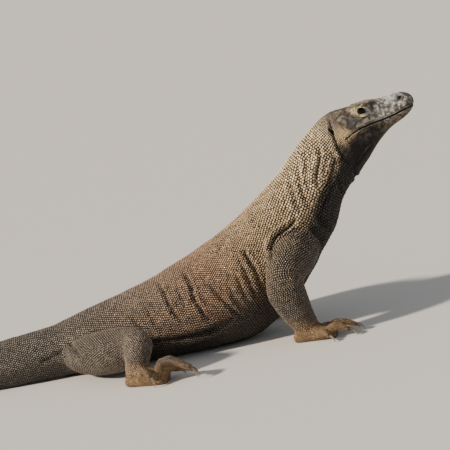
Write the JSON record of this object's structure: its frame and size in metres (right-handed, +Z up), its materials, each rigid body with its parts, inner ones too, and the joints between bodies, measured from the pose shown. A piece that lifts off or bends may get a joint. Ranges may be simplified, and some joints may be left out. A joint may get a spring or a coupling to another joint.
{
  "type": "komodo dragon",
  "caption": "Life-size still model of a large monitor lizard lying on its belly with the forelegs straight and the head raised.",
  "frame": {"origin": "on the floor, under the middle of the animal's bounding box", "axes": "+X towards the head, +Z up; the right side faces -Y"},
  "size_m": [2.3896, 0.8104, 0.6152],
  "materials": {
    "skin": "dry beaded scales, tan to grey-brown",
    "claw": "worn dark horn",
    "eye": "wet dark brown eye"
  },
  "bodies": {
    "root": {"eye_left": "eye", "eye_right": "eye", "forearm_left": "skin", "forearm_right": "skin", "hand_left": "skin", "hand_left_claw_1": "claw", "hand_left_claw_2": "claw", "hand_left_claw_3": "claw", "hand_left_claw_4": "claw", "hand_left_claw_5": "claw", "hand_right": "skin", "hand_right_claw_1": "claw", "hand_right_claw_2": "claw", "hand_right_claw_3": "claw", "hand_right_claw_4": "claw", "hand_right_claw_5": "claw", "head": "skin", "hind_foot_left": "skin", "hind_foot_left_claw_1": "claw", "hind_foot_left_claw_2": "claw", "hind_foot_left_claw_3": "claw", "hind_foot_left_claw_4": "claw", "hind_foot_left_claw_5": "claw", "hind_foot_right": "skin", "hind_foot_right_claw_1": "claw", "hind_foot_right_claw_2": "claw", "hind_foot_right_claw_3": "claw", "hind_foot_right_claw_4": "claw", "hind_foot_right_claw_5": "claw", "lower_jaw": "skin", "neck": "skin", "shin_left": "skin", "shin_right": "skin", "tail_base": "skin", "tail_fore": "skin", "tail_middle": "skin", "tail_tip": "skin", "thigh_left": "skin", "thigh_right": "skin", "trunk": "skin", "upper_arm_left": "skin", "upper_arm_right": "skin"}
  },
  "joints": []
}
